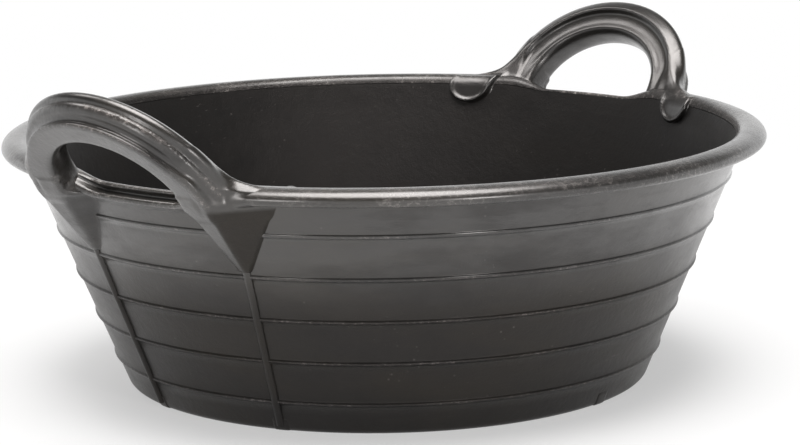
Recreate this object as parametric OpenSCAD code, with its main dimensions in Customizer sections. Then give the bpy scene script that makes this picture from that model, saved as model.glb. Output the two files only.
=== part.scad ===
// Round rubber feed tub: a tapered wall with stepped rings, a rolled rim,
// and two strap handles that flex where they join the rim.
// Millimetres, +Z up, origin on the floor plane under the centre of the tub.
// The handles stand on the X axis, left on -X and right on +X; the front is -Y.

/* [Wall and floor] */
// Diameter of the wall's outer line at the floor plane
base_d = 319; // [270:1:360]
// Diameter of the wall's outer line at the top of the wall
wall_top_d = 429; // [400:1:470]
// Height of the wall, up to the rim course
wall_h = 134; // [124:1:160]
// Thickness of the wall, measured level
wall_t = 6.4; // [5:0.1:8]
// Thickness of the floor
floor_t = 8; // [6:0.5:11]
// Rounding of the heel, where the floor turns up
heel_r = 5; // [2:0.5:6]
// Rounding inside, between the floor and the wall
inner_fillet_r = 12; // [6:1:18]

/* [Rings] */
// Number of stepped rings round the wall
ring_count = 5; // [1:1:5]
// Height from one ring to the next
ring_pitch = 26.25; // [20:0.25:28]
// Depth of the first ring under the top of the wall
ring_drop = 10; // [6:0.2:14]
// How far a ring stands out from the wall
ring_proud = 1.3; // [0.6:0.1:2]
// Height over which a ring fades into the wall above it
ring_fade = 7; // [3:0.5:10]
// Height of the step under a ring
ring_step = 1.6; // [0.8:0.1:3]

/* [Rim] */
// How far the rim reaches out past the top of the wall
rim_overhang = 18; // [15:0.5:26]
// Height of the rim's outer edge above the wall
rim_edge_rise = 13; // [11:0.2:15]
// Height of the rim's crest above the wall
rim_crest_rise = 19.5; // [17:0.5:23]
// Radius of the rolled crest
rim_crest_r = 9; // [7:0.5:10]
// Radius of the rounded outer edge
rim_nose_r = 3.2; // [1.6:0.1:4]
// Radius of the hollow under the rim
rim_hollow_r = 5; // [3:0.5:6]

/* [Handle gaps] */
// Width of the finger gap between the legs of a handle
gap_w = 91; // [86:1:120]
// Height of the bare edge in the gap above the wall
sill_rise = 12.5; // [10:0.5:14]
// Thickness of the bare edge in the gap
sill_t = 4.6; // [3.6:0.1:5.6]
// Rounding on top of the bare edge
sill_round_r = 1.8; // [1:0.1:2.2]
// Height of the shelf's upper side above the wall
shelf_rise = 7; // [5:0.5:9]
// Thickness of the shelf at its edge
shelf_t = 4; // [2.5:0.5:5]
// How far the shelf stands out from the wall
shelf_proud = 4.5; // [2:0.5:6]

/* [Handles] */
// Lean of both handles, outwards from upright
handle_lean = 38; // [30:1:56]
// Height of the left handle along its own plane, from the flexing line
left_handle_rise = 67; // [54:1:80]
// Height of the right handle along its own plane, from the flexing line
right_handle_rise = 65; // [54:1:80]
// Width of the strap, seen square to the hoop
strap_w = 24; // [20:1:28]
// Thickness of the strap
strap_t = 19; // [16:0.5:21]
// Rounding of the strap's edges
strap_round_r = 3.5; // [2:0.5:6]
// Depth of the two grooves along the strap's outer edge
groove_depth = 1.4; // [0.4:0.1:2]
// Distance of the flexing line outside the top of the wall
hinge_out = 7.5; // [2:0.5:9]
// Height of the flexing line above the wall
hinge_rise = 13; // [12:0.5:18]
// Furthest lean inwards, seen from upright
lean_in = 6; // [0:1:12]
// Furthest lean outwards, seen from upright
lean_out = 66; // [58:1:70]
// Gap left where a leg flexes in its root
clearance = 0.3; // [0.2:0.05:0.5]

/* [Handle roots] */
// Length of a root along the rim
root_w = 40; // [32:1:46]
// Depth of the lug's point under the top of the wall
lug_drop = 33; // [24:1:40]
// Distance of the lug's point and its rib outside the finger gap
rib_offset = 13; // [4:1:16]
// How far the lug's point stands out from the wall
lug_tip_proud = 2.5; // [1.5:0.5:4]
// Width of the lug's point
lug_tip_w = 6; // [4:0.5:9]

/* [Inner tongues] */
// Width of a tongue, the rounded end of a leg on the inside of the wall
tongue_w = 28; // [20:1:32]
// How far a tongue stands in from the wall
tongue_t = 4; // [2:0.5:6]
// Distance of a tongue's end outside the finger gap
tongue_offset = 37; // [30:1:42]
// Depth of a tongue's end under the bare edge
tongue_drop = 10; // [8:1:18]

/* [Ribs and feet] */
// Width of an upright rib
rib_w = 5; // [3:0.5:8]
// How far a rib stands out from the wall
rib_proud = 2.2; // [1.6:0.1:3.5]
// Width of a foot at the heel
foot_w = 11; // [8:0.5:16]
// How far a foot stands out from the heel
foot_proud = 3; // [2:0.5:5]
// Height of a foot
foot_h = 9; // [6:0.5:14]

/* [Hidden] */
$fn = 360;

// Sides and ends, as signs of X and Y
left = -1;
right = 1;
front = -1;
back = 1;

// Rubber tones
wall_tone = "#3a3836";
rim_tone = "#45423f";
strap_tone = "#33312f";
root_tone = "#2c2a29";
rib_tone = "#262524";

// Steps used to follow one quarter turn of an arc
arc_steps = 4;
// Overrun of a cut past the faces it cuts
overrun = 1;

// The wall's outer and inner lines
base_r = base_d / 2;
wall_top_r = wall_top_d / 2;
slope = (wall_top_r - base_r) / wall_h;
slant = sqrt(1 + slope * slope);
function outer_r(z) = base_r + slope * z;
function inner_r(z) = outer_r(z) - wall_t;

// Heights above the floor plane
edge_z = wall_h + rim_edge_rise;
crest_z = wall_h + rim_crest_rise;
sill_z = wall_h + sill_rise;
hinge_z = wall_h + hinge_rise;
under_z = edge_z - rim_nose_r;
lug_z = wall_h - lug_drop;

// Places out from the tub's axis
rim_r = wall_top_r + rim_overhang;
hinge_x = wall_top_r + hinge_out;
reach = rim_r + left_handle_rise + right_handle_rise;

// The legs of a handle, along the rim
leg_in = gap_w / 2 + clearance;
leg_out = leg_in + strap_w;
flare_in = leg_out + clearance;
root_end = gap_w / 2 + root_w;
rib_y = gap_w / 2 + rib_offset;
tongue_y = gap_w / 2 + tongue_offset;

// Points along an arc about c, from one angle to another
function arc(c, r, from, to) =
    let (n = max(2, ceil(arc_steps * abs(to - from) / 90)))
    [for (i = [0:n]) let (a = from + (to - from) * i / n) c + r * [cos(a), sin(a)]];

// Centre of an arc of radius r that touches a wall line on its outer side
function beside(line_r, z, r) = [line_r + r * slant, z];
// Direction from such a centre to the touching point
touch_angle = 180 - atan(slope);

// One ring of the wall's outer line, from its lower step to where it fades out
function ring_pts(z) = [
    [outer_r(z - ring_step), z - ring_step],
    [outer_r(z) + ring_proud, z],
    [outer_r(z + ring_fade), z + ring_fade]
];

function ring_z(i) = wall_h - ring_drop - i * ring_pitch;

// The wall's outer line, from the lowest ring that has room above the floor up to the first
function outer_line() = [
    for (i = [ring_count - 1:-1:0])
        if (ring_z(i) - ring_step > floor_t) each ring_pts(ring_z(i))
];

// Rounded corner between the floor and the wall, inside
fillet_z = floor_t + inner_fillet_r;
fillet_c = [inner_r(fillet_z) - inner_fillet_r * slant, fillet_z];

// A band of the tub's plan, between two distances along Y
module band(from, to) {
    translate([-reach, from, 0])
        cube([2 * reach, to - from, crest_z + overrun]);
}

// The same band, on the right half of the tub alone
module quarter(from, to) {
    translate([0, from, 0])
        cube([reach, to - from, crest_z + overrun]);
}

// Turns a shape made on the right and at the back to any side and end
module at(side, end) {
    mirror([side < 0 ? 1 : 0, 0, 0])
        mirror([0, end < 0 ? 1 : 0, 0])
            children();
}

// Everything inside the wall's outer line, used to seat what stands on the wall
module wall_body() {
    rotate_extrude()
        polygon(concat(
            [[0, 0]],
            heel_arc(),
            outer_line(),
            [[wall_top_r, wall_h], [0, wall_h]]
        ));
}

// The rounded heel
heel_c = [outer_r(heel_r) - heel_r * slant, heel_r];
function heel_arc() = arc(heel_c, heel_r, -90, -atan(slope));

// The hollow of the tub above the wall, inside the rim course
module hollow() {
    rotate_extrude()
        polygon(concat(
            [[0, wall_h - overrun], [inner_r(wall_h - overrun), wall_h - overrun]],
            arc(crest_c, rim_crest_r, touch_angle, 90),
            [[crest_c[0], crest_z + overrun], [0, crest_z + overrun]]
        ));
}

// The rim's section: rolled crest, rounded edge and the hollow under it
crest_c = beside(inner_r(crest_z - rim_crest_r), crest_z - rim_crest_r, rim_crest_r);
nose_c = [rim_r - rim_nose_r, edge_z];
crest_to_nose = nose_c - crest_c;
top_angle = atan2(crest_to_nose[1], crest_to_nose[0])
    + acos((rim_crest_r - rim_nose_r) / norm(crest_to_nose));
hollow_c = beside(outer_r(under_z - rim_hollow_r), under_z - rim_hollow_r, rim_hollow_r);

module rim_section() {
    polygon(concat(
        [[inner_r(wall_h), wall_h]],
        arc(crest_c, rim_crest_r, touch_angle, top_angle),
        arc(nose_c, rim_nose_r, top_angle, -90),
        arc(hollow_c, rim_hollow_r, 90, touch_angle),
        [[wall_top_r, wall_h]]
    ));
}

// The bare edge in a handle gap, with the shelf left below it
sill_top_in = inner_r(sill_z);
shelf_z = wall_h + shelf_rise;
shelf_r = outer_r(shelf_z) + shelf_proud;

module sill_section() {
    polygon(concat(
        [[inner_r(wall_h), wall_h], [sill_top_in, sill_z - sill_round_r]],
        arc([sill_top_in + sill_round_r, sill_z - sill_round_r], sill_round_r, 180, 90),
        arc([sill_top_in + sill_t - sill_round_r, sill_z - sill_round_r], sill_round_r, 90, 0),
        [
            [sill_top_in + sill_t, shelf_z],
            [shelf_r, shelf_z],
            [shelf_r, shelf_z - shelf_t],
            [wall_top_r, wall_h]
        ]
    ));
}

module tub_floor() {
    color(wall_tone)
        rotate_extrude()
            polygon(concat(
                [[0, 0]],
                heel_arc(),
                [[outer_r(floor_t), floor_t], [0, floor_t]]
            ));
}

// Half of the wall; the two halves meet at the mould's parting line
module half_wall(side) {
    color(wall_tone)
        at(side, back)
            intersection() {
                rotate_extrude()
                    polygon(concat(
                        [[outer_r(floor_t), floor_t]],
                        outer_line(),
                        [[wall_top_r, wall_h], [inner_r(wall_h), wall_h]],
                        arc(fillet_c, inner_fillet_r, -atan(slope), -90)
                    ));
                quarter(-reach, reach);
            }
}

module rim_arc(end) {
    color(rim_tone)
        at(right, end)
            intersection() {
                rotate_extrude() rim_section();
                band(root_end, reach);
            }
}

module sill(side) {
    color(rim_tone)
        at(side, back)
            intersection() {
                rotate_extrude() sill_section();
                translate([0, -gap_w / 2, 0])
                    cube([reach, gap_w, crest_z]);
            }
}

// The section of the strap: distance out from the opening, then thickness.
// Rounded corners, with two shallow grooves along the outer edge.
function corner(i, j, from) =
    arc([i * (strap_w / 2 - strap_round_r), j * (strap_t / 2 - strap_round_r)],
        strap_round_r, from, from + 90);
flat_half = strap_t / 2 - strap_round_r;
groove_share = 0.85;
groove_steps = 2;
function groove(j) = [
    for (i = [-groove_steps:groove_steps])
        [
            strap_w / 2 - groove_depth * cos(90 * i / groove_steps),
            flat_half / 2 * (j + groove_share * i / groove_steps)
        ]
];
strap_pts = concat(
    corner(-1, -1, 180), corner(1, -1, 270), groove(-1), groove(1), corner(1, 1, 0), corner(-1, 1, 90)
);

// A hoop swept along half an ellipse that stands on the flexing line, its plane upright
hoop_steps = 48;
half_span = leg_in + strap_w / 2;

module hoop(rise) {
    mid_rise = rise - strap_w / 2;
    n = len(strap_pts);
    function ring(t) =
        let (way = [cos(t) / half_span, sin(t) / mid_rise] / norm([cos(t) / half_span, sin(t) / mid_rise]))
        [for (p = strap_pts) [half_span * cos(t) + p[0] * way[0], mid_rise * sin(t) + p[0] * way[1], p[1]]];
    function quad(i, j) =
        let (k = (j + 1) % n)
        [[i * n + j, i * n + k, i * n + n + k], [i * n + j, i * n + n + k, i * n + n + j]];
    polyhedron(
        points = [for (i = [0:hoop_steps]) each ring(180 * i / hoop_steps)],
        faces = concat(
            [[for (j = [n - 1:-1:0]) j]],
            [for (i = [0:hoop_steps - 1]) for (j = [0:n - 1]) each quad(i, j)],
            [[for (j = [0:n - 1]) hoop_steps * n + j]]
        )
    );
    for (m = [0, 1])
        mirror([m, 0, 0])
            translate([half_span, 0, 0])
                knuckle();
}

// The rounded end of a leg, turned about the flexing line
knuckle_r = strap_t / 2 - clearance;
knuckle_w = strap_w - strap_round_r;

module knuckle() {
    rotate([0, 90, 0])
        cylinder(r = knuckle_r, h = knuckle_w, center = true);
}

// Takes a shape from the hoop's own plane to its place on the rim
module at_hinge(side, lean) {
    at(side, back)
        translate([hinge_x, 0, hinge_z])
            rotate([0, lean, 0])
                rotate([90, 0, 90])
                    children();
}

module handle(side, rise) {
    color(strap_tone)
        at_hinge(side, handle_lean)
            hoop(rise);
}

// The space that one leg sweeps between its two limits
module leg_sweep() {
    seat_r = strap_t / 2 + clearance;
    far = strap_w + strap_t;
    function way(a) = [sin(a), cos(a)];
    translate([hinge_x, flare_in, hinge_z])
        rotate([90, 0, 0])
            linear_extrude(height = flare_in - gap_w / 2 + overrun) {
                circle(r = seat_r);
                polygon([
                    seat_r * way(lean_out + 90),
                    seat_r * way(lean_out + 90) + far * way(lean_out),
                    seat_r * way(-lean_in - 90) + far * way(-lean_in),
                    seat_r * way(-lean_in - 90)
                ]);
            }
}

// The block under a leg, as high as the rim's edge, and the rim's own roll beside it
module root_course() {
    intersection() {
        rotate_extrude()
            polygon([
                [inner_r(wall_h) - wall_t, wall_h],
                [inner_r(crest_z) - wall_t, edge_z],
                [rim_r, edge_z],
                [rim_r, under_z],
                [wall_top_r, wall_h]
            ]);
        quarter(gap_w / 2, flare_in);
    }
    intersection() {
        rotate_extrude() rim_section();
        quarter(flare_in, root_end);
    }
}

// The three-sided lug that carries a root down to the wall
module lug() {
    ridge_share = 0.45;
    ridge_y = gap_w / 2 + ridge_share * root_w;
    function out(r, y) = sqrt(r * r - y * y);
    tip_r = outer_r(lug_z) + lug_tip_proud;
    hull() {
        translate([0, 0, under_z - shelf_t])
            linear_extrude(height = shelf_t)
                polygon([
                    [out(inner_r(wall_h), gap_w / 2), gap_w / 2],
                    [out(rim_r - rim_crest_r, gap_w / 2), gap_w / 2],
                    [out(rim_r, ridge_y), ridge_y],
                    [out(rim_r - rim_crest_r, root_end), root_end],
                    [out(inner_r(wall_h), root_end), root_end]
                ]);
        translate([out(tip_r, rib_y) - wall_t, rib_y - lug_tip_w / 2, lug_z])
            cube([wall_t, lug_tip_w, ring_step]);
    }
}

module handle_root(side, end) {
    color(root_tone)
        at(side, end)
            difference() {
                union() {
                    root_course();
                    lug();
                }
                wall_body();
                hollow();
                leg_sweep();
            }
}

module inner_tongue(side, end) {
    end_z = sill_z - tongue_drop + tongue_w / 2;
    color(root_tone)
        at(side, end)
            intersection() {
                rotate_extrude()
                    polygon([
                        [inner_r(fillet_z) - tongue_t, fillet_z],
                        [inner_r(fillet_z), fillet_z],
                        [inner_r(sill_z), sill_z],
                        [inner_r(sill_z) - tongue_t, sill_z]
                    ]);
                translate([0, tongue_y, end_z])
                    rotate([90, 0, 90])
                        linear_extrude(height = reach) {
                            circle(d = tongue_w);
                            translate([-tongue_w / 2, 0])
                                square(tongue_w);
                        }
            }
}

module rib(side, end) {
    turn = asin(rib_y / (outer_r(lug_z) + lug_tip_proud));
    color(rib_tone)
        at(side, end)
            difference() {
                rotate([0, 0, turn])
                    translate([0, rib_w / 2, 0])
                        rotate([90, 0, 0])
                            linear_extrude(height = rib_w)
                                polygon([
                                    [outer_r(foot_h) - wall_t, foot_h],
                                    [outer_r(foot_h) + rib_proud, foot_h],
                                    [outer_r(lug_z) + rib_proud, lug_z],
                                    [outer_r(lug_z) - wall_t, lug_z]
                                ]);
                wall_body();
            }
}

// A small foot that follows the heel, standing on the X axis before it is turned
module heel_foot() {
    difference() {
        translate([0, foot_w / 2, 0])
            rotate([90, 0, 0])
                linear_extrude(height = foot_w)
                    polygon([
                        [base_r - wall_t - heel_r, 0],
                        [base_r + foot_proud, 0],
                        [outer_r(foot_h) + foot_proud, foot_h],
                        [outer_r(foot_h) - wall_t, foot_h]
                    ]);
        wall_body();
    }
}

module rib_foot(side, end) {
    turn = asin(rib_y / (outer_r(lug_z) + lug_tip_proud));
    color(rib_tone)
        at(side, end)
            rotate([0, 0, turn])
                heel_foot();
}

module seam_foot(end) {
    color(rib_tone)
        rotate([0, 0, end * 90])
            heel_foot();
}

tub_floor();
half_wall(left);  // left_wall
half_wall(right);  // right_wall
rim_arc(front);  // front_rim
rim_arc(back);  // back_rim
sill(left);  // left_sill
sill(right);  // right_sill
handle_root(left, front);  // left_front_root
handle_root(left, back);  // left_back_root
handle_root(right, front);  // right_front_root
handle_root(right, back);  // right_back_root
inner_tongue(left, front);  // left_front_tongue
inner_tongue(left, back);  // left_back_tongue
inner_tongue(right, front);  // right_front_tongue
inner_tongue(right, back);  // right_back_tongue
rib(left, front);  // left_front_rib
rib(left, back);  // left_back_rib
rib(right, front);  // right_front_rib
rib(right, back);  // right_back_rib
rib_foot(left, front);  // left_front_foot
rib_foot(left, back);  // left_back_foot
rib_foot(right, front);  // right_front_foot
rib_foot(right, back);  // right_back_foot
seam_foot(front);  // front_foot
seam_foot(back);  // back_foot
handle(left, left_handle_rise);  // left_handle
handle(right, right_handle_rise);  // right_handle
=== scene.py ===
"""Rubber feed tub: the moulding's looks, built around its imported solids."""

import math
from itertools import product

import bpy
import numpy as np
from mathutils import Matrix, Vector


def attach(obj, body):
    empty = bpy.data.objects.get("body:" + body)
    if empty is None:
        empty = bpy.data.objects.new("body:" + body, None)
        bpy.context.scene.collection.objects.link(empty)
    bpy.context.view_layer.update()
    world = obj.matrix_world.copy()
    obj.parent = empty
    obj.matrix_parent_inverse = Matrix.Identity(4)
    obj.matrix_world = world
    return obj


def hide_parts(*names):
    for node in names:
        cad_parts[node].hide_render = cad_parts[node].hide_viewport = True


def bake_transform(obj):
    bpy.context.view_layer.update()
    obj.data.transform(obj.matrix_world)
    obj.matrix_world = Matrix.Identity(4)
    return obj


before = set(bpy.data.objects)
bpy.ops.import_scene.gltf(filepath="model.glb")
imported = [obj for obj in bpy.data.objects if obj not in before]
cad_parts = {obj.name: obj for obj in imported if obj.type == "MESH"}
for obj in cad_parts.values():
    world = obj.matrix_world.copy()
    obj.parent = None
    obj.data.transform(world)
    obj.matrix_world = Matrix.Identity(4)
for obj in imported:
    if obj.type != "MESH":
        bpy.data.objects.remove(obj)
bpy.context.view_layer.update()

# Sizes in millimetres, the same as in the part's source
MM = 0.001
BASE_R = 159.5
TOP_R = 214.5
WALL_H = 134.0
WALL_T = 6.4
FLOOR_T = 8.0
HEEL_R = 5.0
FILLET_R = 12.0
RING_COUNT = 5
RING_PITCH = 26.25
FIRST_RING = WALL_H - 10.0
RING_STEP = 1.6
RIM_R = 232.5
EDGE_Z = 147.0
CREST_Z = 153.5
CREST_R = 9.0
NOSE_R = 3.2
HOLLOW_R = 5.0
SILL_Z = 146.5
SHELF_Z = 141.0
SHELF_PROUD = 4.5
HINGE_X = 222.0
HINGE_Z = 147.0
LEAN = math.radians(38)
HALF_SPAN = 57.8
STRAP_W = 24.0
RISE = {"left": 67.0, "right": 65.0}
LUG_Z = 101.0
LUG_U = 58.5
LUG_TIP_W = 6.0
LUG_TIP_PROUD = 2.5
TONGUE_U = 82.5
TONGUE_Z = 150.5
TONGUE_R = 14.0
TONGUE_T = 4.0
RIB_W = 5.0
RIB_PROUD = 2.2
FOOT_W = 11.0
FOOT_PROUD = 3.0
FOOT_H = 9.0

# Sizes of forms that the solids don't have, or have in a plainer way
RING_PROUD = 1.4
RING_FADE = 10.0
RING_BEAD = 2.0
FLARE_SHARE = 0.45
# How pale the ring beads get: partly wear, partly painted highlight along the bead
RING_DUST_AND_HIGHLIGHT = 0.4
SILL_T = 3.6
SILL_ROUND = 1.6
SHELF_NOSE = 1.9
SHELF_ROOT_R = 1.2
LUG_END = 84.5
TONGUE_START = (66.0, 174.0)
TONGUE_START_R = 5.0
LIP_H = 1.2
TAIL_R = 17.0
TAIL_HALF_T = 5.0
TAIL_END = 112.0
WEB_R = 11.0
WEB_HALF_T = 5.4
WORN_DEPTH = 0.3
RIB_FOOT_Z = 4.0
RIB_TOP_Z = LUG_Z + 4.0
RIB_TAPER = 0.22
FOOT_L = 9.0
FOOT_SINK = 7.0

SLOPE = (TOP_R - BASE_R) / WALL_H
SLANT = math.hypot(1, SLOPE)
TOUCH = math.pi - math.atan(SLOPE)
UNDER_Z = EDGE_Z - NOSE_R
RIB_TURN = math.asin(LUG_U / (BASE_R + SLOPE * LUG_Z + LUG_TIP_PROUD))

# Where the bare edge of a handle gap gives way to the rolled rim, hidden in the roots
GAP_FROM = 30.0
GAP_TO = 60.0

# How finely things are cut: steps round the tub, rows on the lines of a top course, rows on a rib,
# and where the wall's rows lie on a ring, as shares of the heights of its step, bead and flare
ROUND_STEPS = 480
ROW_COUNTS = (20, 14, 12, 26, 8)
RIB_ROWS = 40
RIB_SIDES = 14
STEP_ROWS = (1, 0.8, 0.6, 0.4, 0.2)
BEAD_ROWS = (0, 0.2, 0.35, 0.48, 0.6, 0.72, 0.84, 0.94)
FLARE_ROWS = (0.26, 0.38, 0.5, 0.7, 1)


def outer_r(z):
    return BASE_R + SLOPE * z


def inner_r(z):
    return outer_r(z) - WALL_T


class Value:
    """A node's output. Sums and products of it add Math nodes to its tree."""

    def __init__(self, tree, node, key):
        self.tree = tree
        self.node = node
        self.socket = node.outputs[key]

    def out(self, key):
        return Value(self.tree, self.node, key)

    def math(self, operation, *values):
        sockets = dict(enumerate((self,) + values))
        return self.tree.add("ShaderNodeMath", {"operation": operation}, sockets)

    def clip(self):
        return self.tree.add("ShaderNodeClamp", {}, {0: self})

    def swapped(self, operation, first):
        return self.tree.add("ShaderNodeMath", {"operation": operation}, {0: first, 1: self})

    def __add__(self, other):
        return self.math("ADD", other)

    def __sub__(self, other):
        return self.math("SUBTRACT", other)

    def __rsub__(self, other):
        return self.swapped("SUBTRACT", other)

    def __mul__(self, other):
        return self.math("MULTIPLY", other)

    def __truediv__(self, other):
        return self.math("DIVIDE", other)

    def __rtruediv__(self, other):
        return self.swapped("DIVIDE", other)

    __radd__ = __add__
    __rmul__ = __mul__


class Tree:
    """A node tree that is written as expressions."""

    def __init__(self, tree):
        self.tree = tree
        tree.nodes.clear()

    def add(self, kind, settings, sockets, key=0):
        node = self.tree.nodes.new(kind)
        for name, setting in settings.items():
            setattr(node, name, setting)
        for name, value in sockets.items():
            if isinstance(value, Value):
                self.tree.links.new(value.socket, node.inputs[name])
            else:
                node.inputs[name].default_value = value
        if not node.outputs:
            return node
        return Value(self, node, key)

    def mix(self, share, first, second):
        return self.add("ShaderNodeMix", {"data_type": "RGBA"}, {0: share, 6: first, 7: second}, 2)

    def noise(self, place, scale, detail, rough=0.55):
        sockets = {"Vector": place, "Scale": scale, "Detail": detail, "Roughness": rough}
        return self.add("ShaderNodeTexNoise", {}, sockets)

    def ramp(self, value, low, high):
        settings = {"interpolation_type": "SMOOTHSTEP"}
        return self.add("ShaderNodeMapRange", settings, {0: value, 1: low, 2: high})

    def input(self, name):
        node = self.tree.nodes.get("Inputs")
        if node is None:
            node = self.tree.nodes.new("NodeGroupInput")
            node.name = "Inputs"
        return Value(self, node, name)

    def at_row(self, key, attribute, kind):
        """The place of one row of the section, or an attribute that it carries."""
        if attribute is None:
            field = self.add("GeometryNodeInputPosition", {}, {})
        else:
            field = self.add("GeometryNodeInputNamedAttribute", {"data_type": kind}, {"Name": attribute})
        sockets = {"Geometry": self.input("Section"), "Value": field, "Index": key}
        return self.add("GeometryNodeSampleIndex", {"data_type": kind}, sockets)


def new_tree(name, inputs):
    """A Geometry Nodes tree with named inputs and one output."""
    tree = bpy.data.node_groups.new(name, "GeometryNodeTree")
    for label, kind in inputs:
        tree.interface.new_socket(label, in_out="INPUT", socket_type="NodeSocket" + kind)
    tree.interface.new_socket("Piece", in_out="OUTPUT", socket_type="NodeSocketGeometry")
    return Tree(tree)


def end_tree(tree, piece):
    """Realizes what the tree made and gives it its material."""
    real = tree.add("GeometryNodeRealizeInstances", {}, {0: piece})
    done = tree.add("GeometryNodeSetMaterial", {}, {"Geometry": real, "Material": tree.input("Material")})
    tree.add("NodeGroupOutput", {}, {0: done})


def link(name, data):
    piece = bpy.data.objects.new(name, data)
    bpy.context.scene.collection.objects.link(piece)
    return piece


def face_outwards(mesh):
    """Turns a closed mesh right side out, and shades it smooth."""
    mesh.calc_loop_triangles()
    place = np.empty(len(mesh.vertices) * 3)
    mesh.vertices.foreach_get("co", place)
    place = place.reshape(-1, 3)
    corners = np.empty(len(mesh.loop_triangles) * 3, int)
    mesh.loop_triangles.foreach_get("vertices", corners)
    a, b, c = (place[corners.reshape(-1, 3)[:, i]] for i in range(3))
    if np.einsum("ij,ij->i", a, np.cross(b, c)).sum() < 0:
        mesh.flip_normals()
    mesh.polygons.foreach_set("use_smooth", [True] * len(mesh.polygons))
    mesh.set_sharp_from_angle(angle=math.radians(60))
    mesh.update()


def bake(name, start, tree, values):
    """Runs a tree on a start mesh and keeps the result as a plain mesh."""
    piece = link(name, start)
    modifier = piece.modifiers.new("make", "NODES")
    modifier.node_group = tree.tree
    for item in tree.tree.interface.items_tree:
        if item.in_out == "INPUT" and item.name in values:
            modifier[item.identifier] = values[item.name]
    piece.update_tag()
    bpy.context.view_layer.update()
    made = piece.evaluated_get(bpy.context.evaluated_depsgraph_get())
    mesh = bpy.data.meshes.new_from_object(made)
    piece.modifiers.clear()
    piece.data = mesh
    mesh.name = name
    face_outwards(mesh)
    return piece


def add_numbers(mesh, numbers):
    """Gives the points of a mesh their named numbers."""
    for label, values in numbers.items():
        values = np.asarray(values, np.float32)
        mesh.attributes.new(label, "FLOAT", "POINT").data.foreach_set("value", values)


def plain_mesh(name, places, faces, material, numbers):
    """A mesh from points in millimetres, with named numbers at its points."""
    mesh = bpy.data.meshes.new(name)
    mesh.from_pydata((np.asarray(places) * MM).tolist(), [], faces)
    add_numbers(mesh, numbers)
    mesh.materials.append(material)
    face_outwards(mesh)
    return mesh


def arc(centre, radius, start, stop, count):
    turn = np.linspace(start, stop, count)
    return np.stack([centre[0] + radius * np.cos(turn), centre[1] + radius * np.sin(turn)], 1)


def spread(points, count, closed_end):
    """Points at even steps along a line. The last one is left to the next line, or kept at the end."""
    points = np.asarray(points, float)
    run = np.concatenate([[0], np.cumsum(np.hypot(*np.diff(points, axis=0).T))])
    at = np.linspace(0, run[-1], count + 1)[:count + int(closed_end)]
    return np.stack([np.interp(at, run, points[:, i]) for i in (0, 1)], 1)


CREST = (inner_r(CREST_Z - CREST_R) + CREST_R * SLANT, CREST_Z - CREST_R)
NOSE = (RIM_R - NOSE_R, EDGE_Z)
HOLLOW = (outer_r(UNDER_Z - HOLLOW_R) + HOLLOW_R * SLANT, UNDER_Z - HOLLOW_R)


def rim_lines():
    """The rolled rim, from the wall's outside over the crest to its inside."""
    reach = (RIM_R - CREST[0], CREST_Z - EDGE_Z)
    turn = np.linspace(0, math.pi / 2, 61)
    roll = np.stack([CREST[0] + reach[0] * np.cos(turn), EDGE_Z + reach[1] * np.sin(turn)], 1)
    nose = arc(NOSE, NOSE_R, -math.pi / 2, 0, 12)
    crest = arc(CREST, CREST_R, math.pi / 2, TOUCH, 30)
    under = np.concatenate([[[TOP_R, WALL_H]], arc(HOLLOW, HOLLOW_R, TOUCH, math.pi / 2, 16), nose[:1]])
    return [under, np.concatenate([nose, roll[1:22]]), roll[21:46], np.concatenate([roll[45:], crest[1:]]),
            np.array([crest[-1], [inner_r(WALL_H), WALL_H]])]


def sill_lines():
    """The bare edge in a handle gap with its shelf, in the same order."""
    shelf_r = outer_r(SHELF_Z) + SHELF_PROUD
    middle = (shelf_r - SHELF_NOSE, SHELF_Z - SHELF_NOSE)
    nose = arc(middle, SHELF_NOSE, -math.radians(70), math.pi / 2, 16)
    top_in = inner_r(SILL_Z)
    face_r = top_in + SILL_T
    root_r = face_r - SLOPE * (SILL_Z - SHELF_Z)
    root_c = (root_r + SHELF_ROOT_R, SHELF_Z + SHELF_ROOT_R)
    root = arc(root_c, SHELF_ROOT_R, -math.pi / 2, -math.pi, 8)
    outer_round = arc((face_r - SILL_ROUND, SILL_Z - SILL_ROUND), SILL_ROUND, 0, math.pi / 2, 12)
    inner_round = arc((top_in + SILL_ROUND, SILL_Z - SILL_ROUND), SILL_ROUND, math.pi / 2, math.pi, 12)
    return [np.array([[TOP_R, WALL_H], nose[0]]), nose,
            np.concatenate([nose[-1:], root, outer_round[:1]]),
            np.concatenate([outer_round, inner_round]),
            np.array([inner_round[-1], [inner_r(WALL_H), WALL_H]])]


def joined(lines):
    """The lines of a top course as one row of points. Only the last line keeps its end."""
    last = ROW_COUNTS[-1]
    return np.concatenate([spread(line, count, count == last) for line, count in zip(lines, ROW_COUNTS)])


RIM_LINE = joined(rim_lines())
SILL_LINE = joined(sill_lines())


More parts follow.
